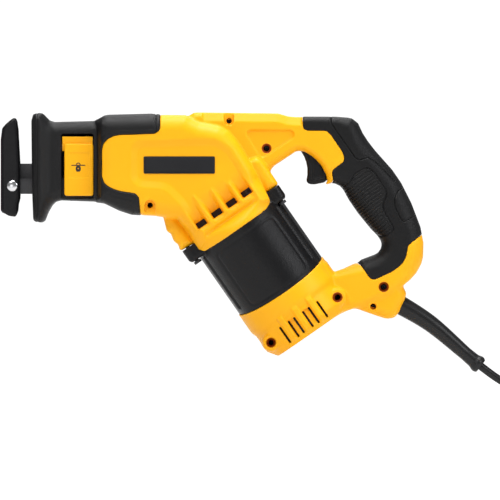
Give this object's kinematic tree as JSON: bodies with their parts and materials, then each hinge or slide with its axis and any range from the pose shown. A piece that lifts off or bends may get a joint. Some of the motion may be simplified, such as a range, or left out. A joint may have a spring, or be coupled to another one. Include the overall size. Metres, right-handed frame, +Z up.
{
  "type": "reciprocating saw",
  "caption": "Corded reciprocating saw with a D-handle, slanted motor, pivoting shoe on a sliding post and a tool-free blade clamp lever; drives a straight blade back and forth.",
  "frame": {"origin": "where the spindle axis meets the front face of the shoe, on the plane between the two clamshell halves", "axes": "+X back along the spindle axis from the shoe to the handle, +Y to the saw's right, +Z up"},
  "size_m": [0.539, 0.093, 0.2551],
  "materials": {
    "black_plastic": "fine texture",
    "black_steel": "black powder coat",
    "boot_rubber": "satin",
    "brass_blade": "polished",
    "bronze": "sintered bronze",
    "carbon": "graphite",
    "cast_aluminium": "die cast",
    "copper": "enamelled wire",
    "cord_jacket": "satin",
    "grip_rubber": "matt overmould",
    "lead_sheath": "thin sheath",
    "plate_black": "gloss",
    "steel": "machined",
    "yellow_shell": "satin moulded",
    "zinc_steel": "bright plated"
  },
  "bodies": {
    "frame": {"clamshell_left": "yellow_shell", "clamshell_right": "yellow_shell", "grip_left": "grip_rubber", "grip_right": "grip_rubber", "nose_boot": "boot_rubber", "gear_case_left": "cast_aluminium", "gear_case_right": "cast_aluminium", "gear_case_screws": "zinc_steel", "clamshell_screws": "black_steel", "nameplates": "plate_black", "motor_housing": "black_plastic", "motor_housing_screws": "black_steel", "field_core": "steel", "field_windings": "copper", "armature_front_bearing": "steel", "armature_rear_bearing": "steel", "fan_baffle": "black_plastic", "brush_holders": "brass_blade", "carbon_brushes": "carbon", "brush_springs": "steel", "crank_gear_bearing": "steel", "spindle_bushings": "bronze", "spindle_seal": "boot_rubber", "lever_hinge_pin": "steel", "shoe_lock_spring": "steel", "trigger_pivot_pin": "steel", "trigger_spring": "steel", "switch_body": "black_plastic", "internal_leads": "lead_sheath", "power_cord": "cord_jacket", "cord_strain_relief": "cord_jacket", "cord_clamp": "black_plastic", "cord_clamp_screws": "zinc_steel", "mains_plug": "black_plastic", "plug_blades": "brass_blade"},
    "armature": {"armature_shaft": "steel", "armature_core": "steel", "armature_windings": "copper", "commutator": "copper", "cooling_fan": "black_plastic", "drive_pinion": "steel"},
    "crank": {"crank_gear": "steel", "crank_pin": "steel", "crank_roller": "steel"},
    "plunger": {"plunger": "steel", "blade_clamp_body": "steel", "blade_clamp_pin": "steel", "blade_clamp_spring": "steel"},
    "clamp_collar": {"blade_clamp_collar": "steel"},
    "release_lever": {"blade_release_lever": "yellow_shell"},
    "shoe_post": {"shoe_post": "black_steel", "shoe_pivot_rivet": "zinc_steel"},
    "shoe": {"shoe": "black_steel"},
    "lock_button": {"shoe_lock_button": "black_plastic"},
    "trigger": {"trigger": "black_plastic"}
  },
  "joints": [
    {"name": "armature_spin", "type": "hinge", "parent": "frame", "child": "armature", "pos_m": [0.20924, 0, -0.07004], "axis": [-0.5707, 0, 0.8211], "range_deg": [0, 1440]},
    {"name": "crank_turn", "type": "hinge", "parent": "frame", "child": "crank", "pos_m": [0.1763, 0, -0.0226], "axis": [0, 1, 0], "range_deg": [0, 180]},
    {"name": "plunger_stroke", "type": "slide", "parent": "frame", "child": "plunger", "axis": [-1, 0, 0], "range_m": [0, 0.0286]},
    {"name": "clamp_collar_turn", "type": "hinge", "parent": "plunger", "child": "clamp_collar", "pos_m": [0.069, 0, 0], "axis": [1, 0, 0], "range_deg": [0, 30]},
    {"name": "lever_swing", "type": "hinge", "parent": "frame", "child": "release_lever", "pos_m": [0.0675, -0.02, 0.002], "axis": [-1, 0, 0], "range_deg": [0, 75]},
    {"name": "shoe_depth", "type": "slide", "parent": "frame", "child": "shoe_post", "axis": [-1, 0, 0], "range_m": [0, 0.019]},
    {"name": "shoe_pivot", "type": "hinge", "parent": "shoe_post", "child": "shoe", "pos_m": [0.01035, 0, -0.03219], "axis": [0, -1, 0], "range_deg": [-10, 25]},
    {"name": "shoe_lock_press", "type": "slide", "parent": "frame", "child": "lock_button", "axis": [0, 0, 1], "range_m": [0, 0.0012], "deforming": ["shoe_lock_spring"]},
    {"name": "trigger_pull", "type": "hinge", "parent": "frame", "child": "trigger", "pos_m": [0.26535, 0, 0.00261], "axis": [0, -1, 0], "range_deg": [0, 12]}
  ],
  "couplings": [
    {"joint": "crank_turn", "follows": "armature_spin", "ratio": 0.125},
    {"joint": "plunger_stroke", "follows": "armature_spin", "m_per_rad": 0.001137},
    {"joint": "clamp_collar_turn", "follows": "lever_swing", "ratio": 0.4}
  ]
}
